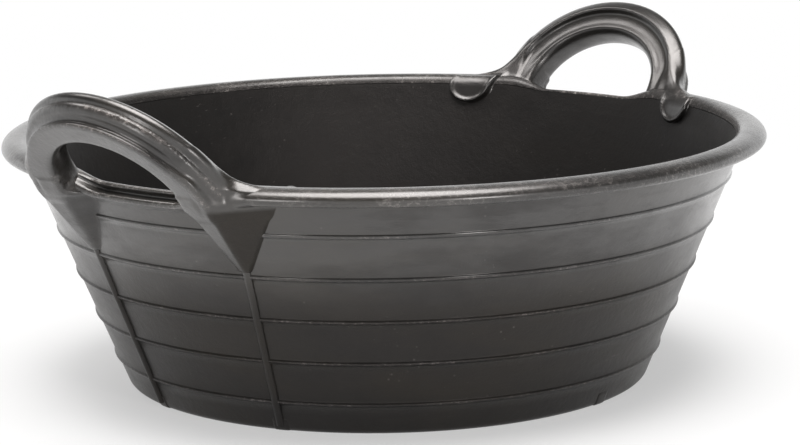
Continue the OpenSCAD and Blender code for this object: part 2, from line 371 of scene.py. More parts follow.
def shell_tree():
    """Turns a section round the tub, with the bare edge in the handle gaps, and adds the rings."""
    tree = new_tree("turned_shell", [
        ("Section", "Geometry"), ("Section Rows", "Int"), ("Round Steps", "Int"),
        ("Gap From", "Float"), ("Gap To", "Float"), ("Ring Count", "Int"), ("First Ring", "Float"),
        ("Ring Pitch", "Float"), ("Ring Proud", "Float"), ("Ring Fade", "Float"), ("Ring Step", "Float"),
        ("Ring Bead", "Float"), ("Material", "Material"),
    ])
    rows = tree.input("Section Rows")
    steps = tree.input("Round Steps")
    grid = tree.add("GeometryNodeMeshGrid", {}, {"Vertices X": steps + 1, "Vertices Y": rows})
    index = tree.add("GeometryNodeInputIndex", {}, {})
    column = ((index + 0.5) / rows).math("FLOOR")
    row = (index - column * rows + 0.5).math("FLOOR")
    turn = column * (2 * math.pi) / steps
    place = tree.at_row(row, None, "FLOAT_VECTOR")
    gap_place = tree.at_row(row, "gap_place", "FLOAT_VECTOR")
    along = tree.add("ShaderNodeSeparateXYZ", {}, {0: place}) * turn.math("SINE")
    in_rim = tree.ramp(along.math("ABSOLUTE"), tree.input("Gap From"), tree.input("Gap To"))
    at = tree.add("ShaderNodeMix", {"data_type": "VECTOR"}, {0: in_rim, 4: gap_place, 5: place}, 1)
    radius = tree.add("ShaderNodeSeparateXYZ", {}, {0: at})
    height = radius.out(2)

    # A ring is a round bead over a rounded step, with a low flare above it
    first = tree.input("First Ring")
    pitch = tree.input("Ring Pitch")
    last = tree.input("Ring Count") - 0.5
    below = ((first - height) / pitch - 0.0001).math("CEIL")
    over = height - (first - below * pitch)
    under = pitch - over
    held = below.math("GREATER_THAN", -0.5) * below.math("LESS_THAN", last)
    next_held = below.math("GREATER_THAN", 0.5) * below.math("LESS_THAN", last + 1)
    fade = (1 - over / tree.input("Ring Fade")).clip().math("POWER", 3.0) * held * FLARE_SHARE
    bead = over / tree.input("Ring Bead")
    bead = (1 - bead * bead).clip() * held
    step = under / tree.input("Ring Step")
    step = (1 - step * step).clip() * next_held
    lift = fade.math("MAXIMUM", step).math("MAXIMUM", bead)
    lift = lift * tree.at_row(row, "ring_share", "FLOAT")
    radius = radius + lift * tree.input("Ring Proud")
    spot = {0: radius * turn.math("COSINE"), 1: radius * turn.math("SINE"), 2: height}
    spot = tree.add("ShaderNodeCombineXYZ", {}, spot)
    turned = tree.add("GeometryNodeSetPosition", {}, {"Geometry": grid, "Position": spot})

    # Rim and bare edge are rubbed as their rows say; the rings only on their beads, as wear and painted
    # highlight
    wear_and_highlight = tree.at_row(row, "wear", "FLOAT") * in_rim
    wear_and_highlight = wear_and_highlight + tree.at_row(row, "gap_wear", "FLOAT") * (1 - in_rim)
    wear_and_highlight = wear_and_highlight.math("MAXIMUM", lift.math("POWER", 6.0) * RING_DUST_AND_HIGHLIGHT)
    stored = tree.add("GeometryNodeStoreNamedAttribute", {"data_type": "FLOAT"},
                      {"Geometry": turned, "Name": "wear", "Value": wear_and_highlight})
    closed = tree.add("GeometryNodeMergeByDistance", {}, {"Geometry": stored, "Distance": 0.000002})
    end_tree(tree, closed)
    return tree


def section_mesh(name, line, gap_line, ring_share, wear, gap_wear):
    """A section as a row of points that carry what the turning tree reads."""
    mesh = bpy.data.meshes.new(name)
    at = np.zeros((len(line), 3))
    at[:, [0, 2]] = line * MM
    mesh.from_pydata(at.tolist(), [(i, i + 1) for i in range(len(at) - 1)], [])
    gap = np.zeros((len(line), 3), np.float32)
    gap[:, [0, 2]] = gap_line * MM
    mesh.attributes.new("gap_place", "FLOAT_VECTOR", "POINT").data.foreach_set("vector", gap.ravel())
    add_numbers(mesh, {"ring_share": ring_share, "wear": wear, "gap_wear": gap_wear})
    return mesh


def wall_section():
    """From the underside's middle out and up the wall, then down the inside to the floor's middle."""
    heel_c = (outer_r(HEEL_R) - HEEL_R * SLANT, HEEL_R)
    heel = arc(heel_c, HEEL_R, -math.pi / 2, -math.atan(SLOPE), 9)
    heights = set(np.linspace(heel[-1][1] + 2, WALL_H, 20))
    for i in range(RING_COUNT):
        ring = FIRST_RING - i * RING_PITCH
        heights -= {h for h in heights if ring - RING_STEP - 1 < h < ring + RING_FADE + 1}
        heights |= {ring - share * RING_STEP for share in STEP_ROWS}
        heights |= {ring + share * RING_BEAD for share in BEAD_ROWS}
        heights |= {ring + share * RING_FADE for share in FLARE_ROWS}
    heights = np.array(sorted(h for h in heights if h < WALL_H) + [WALL_H])
    wall = np.stack([outer_r(heights), heights], 1)
    fillet_z = FLOOR_T + FILLET_R
    fillet_c = (inner_r(fillet_z) - FILLET_R * SLANT, fillet_z)
    fillet = arc(fillet_c, FILLET_R, -math.atan(SLOPE), -math.pi / 2, 12)
    inside = np.linspace(WALL_H, fillet[0][1], 14)[:-1]
    inner = np.stack([inner_r(inside), inside], 1)
    under = np.array([[r, 0.0] for r in (0, 40, 80, 120, 145)])
    floor = np.array([[r, FLOOR_T] for r in (130, 100, 70, 40, 0)])
    line = np.concatenate([under, heel, wall, inner, fillet, floor])
    share = np.zeros(len(line))
    first = len(under) + len(heel)
    share[first:first + len(wall)] = 1
    return line, share


def wave(at, scale, seed):
    """A smooth seeded unevenness between about -1 and 1."""
    rng = np.random.default_rng(seed)
    total = np.zeros(len(at))
    for _ in range(7):
        way = rng.normal(size=3)
        way /= np.linalg.norm(way)
        total += np.sin(at @ way * (2 * math.pi / scale) * rng.uniform(0.7, 1.4) + rng.uniform(0, 7))
    return total / 3.2


class Field:
    """A table of distances over a flat section, which is read between its points."""

    def __init__(self, low, high, step, measure):
        self.low = low
        self.step = step
        axes = [np.arange(low[i], high[i] + step, step) for i in (0, 1)]
        grid = np.stack(np.meshgrid(*axes, indexing="ij"), -1)
        self.table = measure(grid.reshape(-1, 2)).reshape(grid.shape[:2]).astype(np.float32)

    def __call__(self, a, b):
        i = np.clip((a - self.low[0]) / self.step, 0, self.table.shape[0] - 1.001)
        j = np.clip((b - self.low[1]) / self.step, 0, self.table.shape[1] - 1.001)
        i0 = i.astype(np.int32)
        j0 = j.astype(np.int32)
        i = i - i0
        j = j - j0
        t = self.table
        low = t[i0, j0] * (1 - j) + t[i0, j0 + 1] * j
        high = t[i0 + 1, j0] * (1 - j) + t[i0 + 1, j0 + 1] * j
        return low * (1 - i) + high * i


def outline_distance(outline):
    """Signed distance to a closed outline, negative inside."""
    def measure(points):
        best = np.full(len(points), 1e9)
        inside = np.zeros(len(points), bool)
        for a, b in zip(outline, np.roll(outline, -1, axis=0)):
            edge = b - a
            if not edge.any():
                continue
            away = points - a
            share = np.clip(away @ edge / (edge @ edge), 0, 1)
            best = np.minimum(best, ((away - share[:, None] * edge) ** 2).sum(1))
            cross = (a[1] > points[:, 1]) != (b[1] > points[:, 1])
            if edge[1]:
                inside ^= cross & (points[:, 0] < a[0] + edge[0] * (points[:, 1] - a[1]) / edge[1])
        return np.where(inside, -1, 1) * np.sqrt(best)
    return measure


def soft_union(a, b, reach):
    near = np.maximum(reach - np.abs(a - b), 0) / reach
    return np.minimum(a, b) - near * near * reach / 4


def soft_cut(a, b, reach):
    return -soft_union(-a, -b, reach)


def round_union(a, b, radius):
    inner = np.hypot(np.maximum(radius - a, 0), np.maximum(radius - b, 0))
    return np.maximum(radius, np.minimum(a, b)) - inner


def smooth_step(value, low, high):
    share = np.clip((value - low) / (high - low), 0, 1)
    return share * share * (3 - 2 * share)


def rounded_loop(points, steps=8):
    """A smooth closed curve through the given points."""
    points = np.asarray(points, float)
    before, after, beyond = (np.roll(points, -i, axis=0) for i in (-1, 1, 2))
    out = []
    for share in np.arange(steps) / steps:
        a = -share + 2 * share ** 2 - share ** 3
        b = 2 - 5 * share ** 2 + 3 * share ** 3
        c = share + 4 * share ** 2 - 3 * share ** 3
        d = share ** 3 - share ** 2
        out.append((a * before + b * points + c * after + d * beyond) / 2)
    return np.stack(out, 1).reshape(-1, 2)


# The strap's section: out from the opening, then towards the front face.
# Round the outer edge run the back strip, the middle strip, the groove and the front ridge.
# The front face is narrow on the arch and takes the whole width on the legs.
OPENING_SIDE = [(-12.0, -2.4), (-12.1, 0.8), (-11.9, 4.5), (-11.1, 7.8), (-9.2, 9.7), (-4.0, 10.3)]
ARCH_FRONT = [
    (0.4, 10.6), (3.4, 10.7), (4.9, 10.2), (5.1, 8.9), (4.4, 7.4),
    (5.0, 5.8), (6.8, 4.7), (9.0, 4.3), (10.4, 2.7)]
LEG_FRONT = [
    (2.0, 10.6), (6.4, 10.5), (8.8, 9.9), (9.7, 8.7), (9.4, 7.3),
    (9.0, 6.0), (9.3, 4.6), (10.1, 3.4), (10.9, 2.2)]
BACK_SIDE = [
    (11.3, 0.8), (11.0, -0.4), (11.4, -1.3), (12.5, -2.3), (13.1, -3.7), (13.2, -5.4), (12.5, -7.2),
    (10.4, -8.9), (7.6, -10.5), (5.4, -11.5), (4.2, -11.3), (3.4, -10.0), (2.3, -8.5), (-0.6, -7.8),
    (-4.0, -7.7), (-7.0, -8.3), (-8.6, -8.4), (-10.4, -6.7), (-11.6, -4.6)]
PLAIN_SECTION = [
    (-12.0, -4.0), (-12.2, 0.0), (-12.0, 4.0), (-10.4, 7.8), (-7.4, 9.3), (0.0, 9.8),
    (7.0, 9.3), (10.2, 7.6), (11.8, 4.0), (12.0, 0.0), (11.8, -4.0), (10.2, -7.6),
    (7.0, -9.2), (0.0, -9.7), (-7.4, -9.2), (-10.4, -7.8)]


def section_field(points):
    """Distance to a section of the strap."""
    return Field((-30, -45), (90, 45), 0.3, outline_distance(rounded_loop(points)))


def course_field(line):
    """Distance to a top course that is carried down the wall."""
    low = 84.0
    line = np.concatenate([[[inner_r(low), low], [outer_r(low), low]], line])
    return Field((150, 80), (300, 225), 0.4, outline_distance(line))


ARCH_FIELD = section_field(OPENING_SIDE + ARCH_FRONT + BACK_SIDE)
LEG_FIELD = section_field(OPENING_SIDE + LEG_FRONT + BACK_SIDE)
PLAIN_FIELD = section_field(PLAIN_SECTION)
RIM_FIELD = course_field(RIM_LINE)
SILL_FIELD = course_field(SILL_LINE)


def hoop_place(x, z):
    """Height along the hoop's leaning plane from the hinge, and distance in front of that plane."""
    out = x - HINGE_X
    up = z - HINGE_Z
    return out * math.sin(LEAN) + up * math.cos(LEAN), out * math.cos(LEAN) - up * math.sin(LEAN)


def hoop_field(rise):
    """How far a point of the hoop's plane lies outside the strap's middle line."""
    mid_rise = rise - STRAP_W / 2
    turn = np.linspace(0, math.pi, 361)
    arch = np.stack([HALF_SPAN * np.cos(turn), mid_rise * np.sin(turn)], 1)
    leg = np.linspace(-30, 0, 31)[:-1]
    first_leg = np.stack([np.full(len(leg), HALF_SPAN), leg], 1)
    last_leg = np.stack([np.full(len(leg), -HALF_SPAN), leg[::-1]], 1)
    path = np.concatenate([first_leg, arch, last_leg])
    way = np.gradient(path, axis=0)
    out = np.stack([way[:, 1], -way[:, 0]], 1)
    out /= np.linalg.norm(out, axis=1)[:, None]

    def measure(points):
        found = np.empty(len(points))
        for part in np.array_split(np.arange(len(points)), 40):
            away = points[part][:, None] - path[None]
            near = (away ** 2).sum(-1).argmin(1)
            found[part] = (away[np.arange(len(part)), near] * out[near]).sum(1)
        return found
    return Field((-1, -40), (140, 100), 0.5, measure)


def plane(a, b, c, inside):
    """Signed distance to the plane through three points, negative on the side of the inside point."""
    a, b, c, inside = (np.array(p, float) for p in (a, b, c, inside))
    way = np.cross(b - a, c - a)
    way /= np.linalg.norm(way)
    if (inside - a) @ way > 0:
        way = -way
    return lambda x, u, z: (x - a[0]) * way[0] + (u - a[1]) * way[1] + (z - a[2]) * way[2]


def on_wall(u, z, proud):
    """The point at u and z that stands proud of the wall's outside."""
    radius = outer_r(z) + proud
    return math.sqrt(radius * radius - u * u), u, z


def lug_planes():
    """The lug's faces: the strap's front carried on, the one under the rim, the gap's side, the foot."""
    half = LUG_TIP_W / 2
    ridge = (230.6, 66.0, 141.0)
    ridge_near = (230.6, 47.0, 141.5)
    tip_near = on_wall(LUG_U - half, LUG_Z, LUG_TIP_PROUD)
    tip_far = on_wall(LUG_U + half, LUG_Z, LUG_TIP_PROUD)
    far = on_wall(LUG_END, 139.0, 0.5)
    far_in = (far[0] * 0.8, far[1] * 0.8, far[2])
    gap_top = (231.0, 47.0, 144.0)
    gap_low = on_wall(43.5, 124.0, 1.0)
    gap_tip = on_wall(LUG_U - 4.5, LUG_Z, 1.0)
    heart = (208.0, 62.0, 132.0)
    return [
        plane(ridge, ridge_near, tip_near, heart),
        plane(ridge, far, tip_far, heart),
        plane(gap_top, gap_low, gap_tip, heart),
        plane(far, tip_far, far_in, heart),
    ]


# The grid that a handle's skin is found on, how far the tub lies under the skin, how far the roots go
# into the wall, and a distance that takes a cut out of reach
GRID = 0.85
SKIN_LOW = (168.0, 0.0, 92.0)
SKIN_HIGH = (284.0, 124.0, 212.0)
SKIN_SINK = 0.8
ROOT_INSET = 1.5
OUT_OF_REACH = 40.0


def strap_field(d, v, w, r, z):
    """The strap: grooved on the arch and on the legs' upper parts, plain where the legs go down."""
    plain = 1 - smooth_step(v, 0, 11 + 12 * smooth_step(-w, -8, 10))
    arch = smooth_step(v, 16, 40)
    strap = ARCH_FIELD(d, w) * arch + LEG_FIELD(d, w) * (1 - arch)
    strap = strap * (1 - plain) + PLAIN_FIELD(d, w) * plain
    strap = soft_cut(strap, -8.0 - v, 5.0)
    return soft_cut(strap, inner_r(z) + ROOT_INSET - r - OUT_OF_REACH * smooth_step(z, 146.0, 153.0), 2.0)


def lug_field(faces, r, u, z):
    """The three-sided lug under a leg, below the rim's edge and cut slantwise at the gap."""
    lug = faces[0]
    for face in faces[1:]:
        lug = soft_cut(lug, face, 1.6)
    lug = soft_cut(lug, LUG_Z - z, 1.0)
    lug = soft_cut(lug, z - UNDER_Z, 5.0)
    lug = soft_cut(lug, (z - 137.0 - 0.75 * (u - 38.0)) * 0.8, 4.0)
    return np.maximum(lug, inner_r(z) + ROOT_INSET - r)


def tongue_field(strap, shell, w, r, u, z):
    """The strip laid over the leg's back and the rim's inside, with a lip round its rounded end."""
    start = np.array(TONGUE_START)
    run = np.array([TONGUE_U, TONGUE_Z]) - start
    share = np.clip(((u - start[0]) * run[0] + (z - start[1]) * run[1]) / (run @ run), 0, 1)
    pad = np.hypot(u - start[0] - share * run[0], z - start[1] - share * run[1])
    pad = pad - TONGUE_START_R - (TONGUE_R - TONGUE_START_R) * share

    # It thins out up the leg and over the crest, and its lip goes with it
    high = smooth_step(z, 146.0, 164.0)
    crest = smooth_step(r, 216.0, 223.0) * (1 - smooth_step(z, 155.0, 163.0))
    lip = LIP_H * np.exp(-((pad + 1.6) / 1.1) ** 2) * (1 - high) * (1 - crest)
    bed = soft_union(strap, shell, 14.0)
    tongue = soft_cut(pad, bed - (TONGUE_T - 1.6 + lip - 3.4 * high - 3.5 * crest), 1.6)

    # Low down it stays by the wall, and higher up behind the strap
    above = smooth_step(z, 149.0, 157.0)
    tongue = np.maximum(tongue, r - inner_r(z) - 5.0 - OUT_OF_REACH * above)
    return soft_cut(tongue, w + 5.0 - OUT_OF_REACH * (1 - above), 3.0)


def tail_field(d, v, w, u, z):
    """The bent plate that fills the corner between the leg's back and the rim's crest."""
    crest_x = np.sqrt(np.maximum(CREST[0] ** 2 - u * u, 1))
    crest_v, crest_w = hoop_place(crest_x, CREST[1])
    over = v - crest_v - (CREST_R - 0.5)
    corner = round_union(np.abs(d) - STRAP_W / 2 + 0.8 + 5.0 * smooth_step(v, 8.0, 26.0), over, TAIL_R)
    tail = soft_cut(corner, np.abs(w - crest_w + 0.8) - TAIL_HALF_T, 6.0)
    for side in (146.4 - z, HALF_SPAN - u, u - TAIL_END):
        tail = np.maximum(tail, side)
    return tail


def web_field(d, v, w, u, z):
    """The small web that rounds the gap's corner between the leg and the shelf."""
    web = round_union(-STRAP_W / 2 - d, v + 7.0, WEB_R)
    web = soft_cut(web, np.abs(w - 4.6) - WEB_HALF_T, 3.0)
    web = np.maximum(web, np.maximum(v - 9.0, np.maximum(34.0 - u, u - HALF_SPAN)))
    return soft_cut(web, SHELF_Z - 2.0 - z, 2.0)


def skin_field(side):
    """Distance to one half of a handle with its roots: strap, lug, web, tail and tongue.

    x points out from the tub, u along the handle's chord, z up and r out from the tub's axis. In the
    hoop's plane, d is how far out from the strap's middle line a point lies and v how high; w is how
    far in front of the plane.
    """
    axes = [np.arange(SKIN_LOW[i], SKIN_HIGH[i], GRID) for i in range(3)]
    axes[1] = axes[1] + GRID / 2
    x, u, z = np.meshgrid(*(a.astype(np.float32) for a in axes), indexing="ij")
    r = np.hypot(x, u)
    v, w = hoop_place(x, z)
    d = hoop_field(RISE[side])(u, v)
    in_rim = smooth_step(u, GAP_FROM, GAP_TO)
    shell = RIM_FIELD(r, z) * in_rim + SILL_FIELD(r, z) * (1 - in_rim)

    # Under the rim the strap gives way to the lug's face there
    faces = [face(x, u, z) for face in lug_planes()]
    strap = strap_field(d, v, w, r, z)
    strap = soft_cut(strap, faces[1] - OUT_OF_REACH * smooth_step(z, 143.5, 150.0), 3.0)
    body = soft_union(strap, lug_field(faces, r, u, z), 4.0)
    body = soft_union(body, web_field(d, v, w, u, z), 3.0)
    body = soft_union(body, tail_field(d, v, w, u, z), 4.0)
    body = soft_union(body, tongue_field(strap, shell, w, r, u, z), 4.0)

    # The tub near the handle is taken in too, so that the two run into each other
    shell = np.maximum(shell + SKIN_SINK, body - 9.0)
    reach = smooth_step(z, 139.0, 146.0) * smooth_step(r, 220.0, 227.0)
    reach = 2.0 + 5.0 * reach * smooth_step(u, 60.0, 68.0) * (1 - smooth_step(u, 78.0, 88.0))
    return soft_union(body, shell, reach), axes


def surface_of(field, axes):
    """The surface where a field is zero, as points and four-sided faces."""
    inside = field < 0
    shape = np.array(field.shape) - 1
    count = np.zeros(shape, np.int8)
    for i, j, k in product((0, 1), repeat=3):
        count += inside[i:shape[0] + i, j:shape[1] + j, k:shape[2] + k]
    mixed = (count > 0) & (count < 8)
    cells = np.argwhere(mixed)
    number = np.full(shape, -1, np.int64)
    number[mixed] = np.arange(len(cells))
    total = np.zeros((len(cells), 3))
    crossings = np.zeros(len(cells))
    for axis in range(3):
        others = [i for i in range(3) if i != axis]
        for p, q in product((0, 1), repeat=2):
            start = np.zeros(3, int)
            start[others] = p, q
            stop = start.copy()
            stop[axis] = 1
            f0 = field[tuple((cells + start).T)]
            f1 = field[tuple((cells + stop).T)]
            cross = (f0 < 0) != (f1 < 0)
            share = np.where(cross, f0 / np.where(cross, f0 - f1, 1), 0)
            at = cells + start + share[:, None] * (stop - start)
            total += at * cross[:, None]
            crossings += cross
    places = total / crossings[:, None]
    places = np.array([a[0] for a in axes]) + places * GRID
    faces = []
    for axis in range(3):
        b, c = [i for i in range(3) if i != axis]
        low = [slice(None)] * 3
        high = [slice(None)] * 3
        low[axis] = slice(0, -1)
        high[axis] = slice(1, None)
        change = inside[tuple(low)] != inside[tuple(high)]
        at = np.argwhere(change)
        at = at[(at[:, b] > 0) & (at[:, c] > 0) & (at[:, b] < shape[b]) & (at[:, c] < shape[c])]
        corners = []
        for p, q in ((1, 1), (0, 1), (0, 0), (1, 0)):
            cell = at.copy()
            cell[:, b] -= p
            cell[:, c] -= q
            corners.append(number[tuple(cell.T)])
        quad = np.stack(corners, 1)
        flip = inside[tuple(at.T)] ^ (axis == 1)
        quad[flip] = quad[flip][:, ::-1]
        faces.append(quad)
    return places, np.concatenate(faces)


def even_out(places, faces, rounds):
    """Draws each point towards the middle of its neighbours."""
    ends = np.concatenate([faces[:, [i, (i + 1) % 4]] for i in range(4)])
    degree = np.bincount(ends.ravel(), minlength=len(places))[:, None]
    for _ in range(rounds):
        total = np.zeros_like(places)
        for i in range(3):
            total[:, i] += np.bincount(ends[:, 0], places[ends[:, 1], i], len(places))
            total[:, i] += np.bincount(ends[:, 1], places[ends[:, 0], i], len(places))
        places = 0.45 * places + 0.55 * total / degree
    return places


def strap_wear(places, side):
    """Where the strap is rubbed or carries the mould's flash: its middle ridge and its edges."""
    x, u, z = np.abs(places[:, 0]), np.abs(places[:, 1]), places[:, 2]
    v, w = hoop_place(x, z)
    d = hoop_field(RISE[side])(u, v)
    outer = smooth_step(d, 8.0, 10.0)
    up = smooth_step(v, 0.0, 8.0)
    ridge = np.exp(-((w - 1.0) / 1.3) ** 2) * outer * up * 0.7
    front = np.exp(-((w - 10.0) / 1.2) ** 2) * smooth_step(d, 3.5, 4.8) * 0.5 * up
    corner = np.exp(-((u - 45.0) / 3.0) ** 2 - ((z - 145.0) / 5.0) ** 2) * 0.9
    tail = np.exp(-((z - 154.5) / 2.5) ** 2) * smooth_step(u, 72.0, 80.0)
    tail = tail * (1 - smooth_step(u, 98.0, 108.0)) * 0.5
    return np.clip(np.maximum(np.maximum(ridge, front), np.maximum(corner, tail)), 0, 1)


def handle_skin(side, material):
    """One handle as a single moulded skin."""
    field, axes = skin_field(side)
    field = np.concatenate([field[:, ::-1], field], 1)
    axes[1] = np.concatenate([-axes[1][::-1], axes[1]])
    places, faces = surface_of(field, axes)
    places = even_out(places, faces, 2)
    wear = strap_wear(places, side)

    # The lug's face under the rim stays dull
    x, u, z = places[:, 0], np.abs(places[:, 1]), places[:, 2]
    under_face = np.abs(lug_planes()[1](x, u, z))
    dull = (1 - smooth_step(under_face, 0.7, 1.6)) * (1 - smooth_step(z, 139.0, 143.0))
    dull = dull * smooth_step(u, 57.0, 60.0)

    # Rubbed places are a little uneven
    rough = wave(places, 3.1, 5) * wave(places, 9.0, 6)
    away = places - np.array([HINGE_X, 0, HINGE_Z])
    away /= np.linalg.norm(away, axis=1)[:, None]
    places = places + away * (rough * wear * WORN_DEPTH)[:, None]
    if side == "left":
        places = places * [-1, 1, 1]
    name = side + "_handle_skin"
    numbers = {"wear": wear, "dull": dull}
    return link(name, plain_mesh(name, places, faces.tolist(), material, numbers))


def set_round(tree, shape):
    """Sets a shape at each point of the start mesh, turned as the point says, and ends the tree."""
    turn = tree.add("GeometryNodeInputNamedAttribute", {"data_type": "FLOAT"}, {"Name": "turn"})
    turn = tree.add("ShaderNodeCombineXYZ", {}, {2: turn})
    sockets = {"Points": tree.input("Section"), "Instance": shape, "Rotation": turn}
    end_tree(tree, tree.add("GeometryNodeInstanceOnPoints", {}, sockets))
    return tree


def ribs_tree():
    """Upright ribs of the wall, thinner towards the top."""
    tree = new_tree("upright_ribs", [
        ("Section", "Geometry"), ("Foot Radius", "Float"), ("Foot Height", "Float"),
        ("Top Radius", "Float"), ("Top Height", "Float"), ("Width", "Float"), ("Proud", "Float"),
        ("Rows", "Int"), ("Material", "Material"),
    ])
    ends = []
    for end in ("Foot", "Top"):
        place = {0: tree.input(end + " Radius"), 2: tree.input(end + " Height")}
        ends.append(tree.add("ShaderNodeCombineXYZ", {}, place))
    line = tree.add("GeometryNodeCurvePrimitiveLine", {}, {"Start": ends[0], "End": ends[1]})
    line = tree.add("GeometryNodeResampleCurve", {}, {"Curve": line, "Count": tree.input("Rows")})
    along = tree.add("GeometryNodeSplineParameter", {}, {})
    line = tree.add("GeometryNodeSetCurveRadius", {}, {"Curve": line, "Radius": 1.0 - along * RIB_TAPER})
    width = tree.input("Width")
    shape = {"Resolution": RIB_SIDES, "Radius": width * 0.5}
    shape = tree.add("GeometryNodeCurvePrimitiveCircle", {}, shape)
    spot = tree.add("ShaderNodeSeparateXYZ", {}, {0: tree.add("GeometryNodeInputPosition", {}, {})})
    flat = spot.out(1) * (tree.input("Proud") * 2 / width)
    spot = tree.add("ShaderNodeCombineXYZ", {}, {0: spot, 1: flat})
    shape = tree.add("GeometryNodeSetPosition", {}, {"Geometry": shape, "Position": spot})
    sockets = {"Curve": line, "Profile Curve": shape, "Fill Caps": True}
    return set_round(tree, tree.add("GeometryNodeCurveToMesh", {}, sockets))


def feet_tree():
    """Rounded feet at the heel, leaning as the wall does."""
    tree = new_tree("heel_feet", [
        ("Section", "Geometry"), ("Length", "Float"), ("Width", "Float"), ("Height", "Float"),
        ("Out", "Float"), ("Lean", "Float"), ("Material", "Material"),
    ])
    size = {0: tree.input("Length"), 1: tree.input("Width"), 2: tree.input("Height")}
    size = tree.add("ShaderNodeCombineXYZ", {}, size)
    sockets = {"Size": size, "Vertices X": 3, "Vertices Y": 4, "Vertices Z": 4}
    block = tree.add("GeometryNodeMeshCube", {}, sockets)
    block = tree.add("GeometryNodeSubdivisionSurface", {}, {"Mesh": block, "Level": 2})
    spot = tree.add("ShaderNodeSeparateXYZ", {}, {0: tree.add("GeometryNodeInputPosition", {}, {})})
    high = spot.out(2) + tree.input("Height") * 0.5
    out = spot + tree.input("Out") + high * tree.input("Lean")
    spot = tree.add("ShaderNodeCombineXYZ", {}, {0: out, 1: spot.out(1), 2: high})
    return set_round(tree, tree.add("GeometryNodeSetPosition", {}, {"Geometry": block, "Position": spot}))


def turn_points(name, turns):
    """One point at the tub's axis for each thing set round it."""
    mesh = bpy.data.meshes.new(name)
    mesh.from_pydata([(0, 0, 0)] * len(turns), [], [])
    add_numbers(mesh, {"turn": turns})
    return mesh


# Tones of the rubber, the inside's darker tone being painted shade, the heights in metres between which
# its shine comes up, and how softly the shine ends towards the inside, in millimetres
DARK_TONE = (0.008, 0.008, 0.008, 1)
GREY_TONE = (0.017, 0.016, 0.015, 1)
BROWN_TONE = (0.021, 0.018, 0.013, 1)
INSIDE_SHADE_TONE = (0.004, 0.004, 0.004, 1)
SHINE_FROM = 0.065
SHINE_TO = 0.138
SHINE_EDGE = 1.4


def rubber(name, gloss, dust, polish, haze, lumps, depth):
    """Moulded recycled rubber: patchy shine, fine grain, faint scratches, and pale crumbs where rubbed.
    The pale marks on the wall's ring beads are partly wear and partly painted highlight, and the inside's
    darker tone is painted shade.

    gloss is its roughness and dust the tone of its crumbs and of that painted highlight, polish and haze
    the weight and roughness of its shine, lumps the height of its lumps, and depth how far in from the
    wall's outside the shine reaches, in millimetres.
    """
    material = bpy.data.materials.new(name)
    material.use_nodes = True
    tree = Tree(material.node_tree)
    place = tree.add("ShaderNodeTexCoord", {}, {}, "Object")
    spot = tree.add("ShaderNodeSeparateXYZ", {}, {0: place})
    high = spot.out(2)
    flat = tree.add("ShaderNodeMapping", {}, {0: place, 3: (1.0, 1.0, 3.0)})
    patch = tree.ramp(tree.noise(flat, 8.0, 4.0, 0.6), 0.36, 0.68)
    smear = tree.ramp(tree.noise(flat, 30.0, 4.0, 0.65), 0.32, 0.70)
    mottle = tree.noise(place, 55.0, 4.0, 0.6)
    grain = tree.noise(place, 900.0, 3.0, 0.6)
    fine = tree.noise(place, 2600.0, 2.0, 0.5)
    lump = tree.noise(place, 230.0, 3.0, 0.6)
    turned = tree.add("ShaderNodeMapping", {}, {0: place, 2: (0.5, 0.9, 0.3), 3: (9.0, 160.0, 160.0)})
    scratch = tree.ramp(tree.noise(turned, 5.0, 2.0), 0.70, 0.74)
    scratch = scratch * tree.ramp(tree.noise(place, 21.0, 2.0), 0.52, 0.66)
    dot = tree.add("ShaderNodeTexVoronoi", {}, {"Vector": place, "Scale": 170.0})
    speck = (1 - dot / 0.16).clip() * tree.ramp(tree.noise(place, 36.0, 2.0), 0.56, 0.7)
    # The wear attribute is real wear, and on the ring beads also painted highlight; rubbed and pale carry
    # both
    wear_and_highlight = tree.add("ShaderNodeAttribute", {"attribute_name": "wear"}, {}, 2)
    dull = tree.add("ShaderNodeAttribute", {"attribute_name": "dull"}, {}, 2)
    crumb = tree.ramp(tree.noise(place, 420.0, 3.0, 0.7), 0.52, 0.64)
    rubbed = wear_and_highlight * (0.15 + 0.95 * crumb) * tree.ramp(tree.noise(place, 26.0, 3.0), 0.36, 0.62)

    # The outside is handled and shines towards the top, while its foot and the inside stay dull
    across = tree.add("ShaderNodeCombineXYZ", {}, {0: spot, 1: spot.out(1)})
    across = tree.add("ShaderNodeVectorMath", {"operation": "LENGTH"}, {0: across}, 1)
    outside = tree.ramp(across - high * SLOPE - BASE_R * MM, -depth * MM, (SHINE_EDGE - depth) * MM)
    tone = tree.mix(mottle, DARK_TONE, GREY_TONE)
    tone = tree.mix(patch * 0.55, tone, BROWN_TONE)
    pale = (rubbed * 0.75 + scratch * 0.12 + speck * 0.22).clip()
    # Painted shade: the inside is darkened towards a near-black tone
    tone = tree.mix((1 - outside) * 0.8, tone, INSIDE_SHADE_TONE)
    tone = tree.mix(pale, tone, dust)
    rough = gloss + (mottle - 0.5) * 0.16 + smear * 0.05 - rubbed * 0.08 + (1 - outside) * 0.12
    height = grain * 0.55 + fine * 0.25 + mottle * 0.8 + speck * 0.9 + rubbed * 1.4 - scratch * 0.5
    height = height + lump * lumps + wear_and_highlight * (grain * 4.0 + crumb * 1.5 + lump * 9.0)
    bump = tree.add("ShaderNodeBump", {}, {"Strength": 0.4, "Distance": 0.0006, "Height": height})

    shine = tree.ramp(high, SHINE_FROM, SHINE_TO) * outside * (0.45 + 0.35 * patch + 0.35 * smear)
    coat = (shine * polish * (1 - dull)).clip()
    shader = tree.add("ShaderNodeBsdfPrincipled", {}, {
        "Base Color": tone, "Roughness": rough.clip(), "Normal": bump, "Coat Weight": coat,
        "IOR": 1.6, "Specular IOR Level": 0.23, "Specular Tint": (1.0, 0.94, 0.915, 1),
        "Coat IOR": 1.65, "Coat Roughness": haze})
    tree.add("ShaderNodeOutputMaterial", {}, {0: shader})
    return material


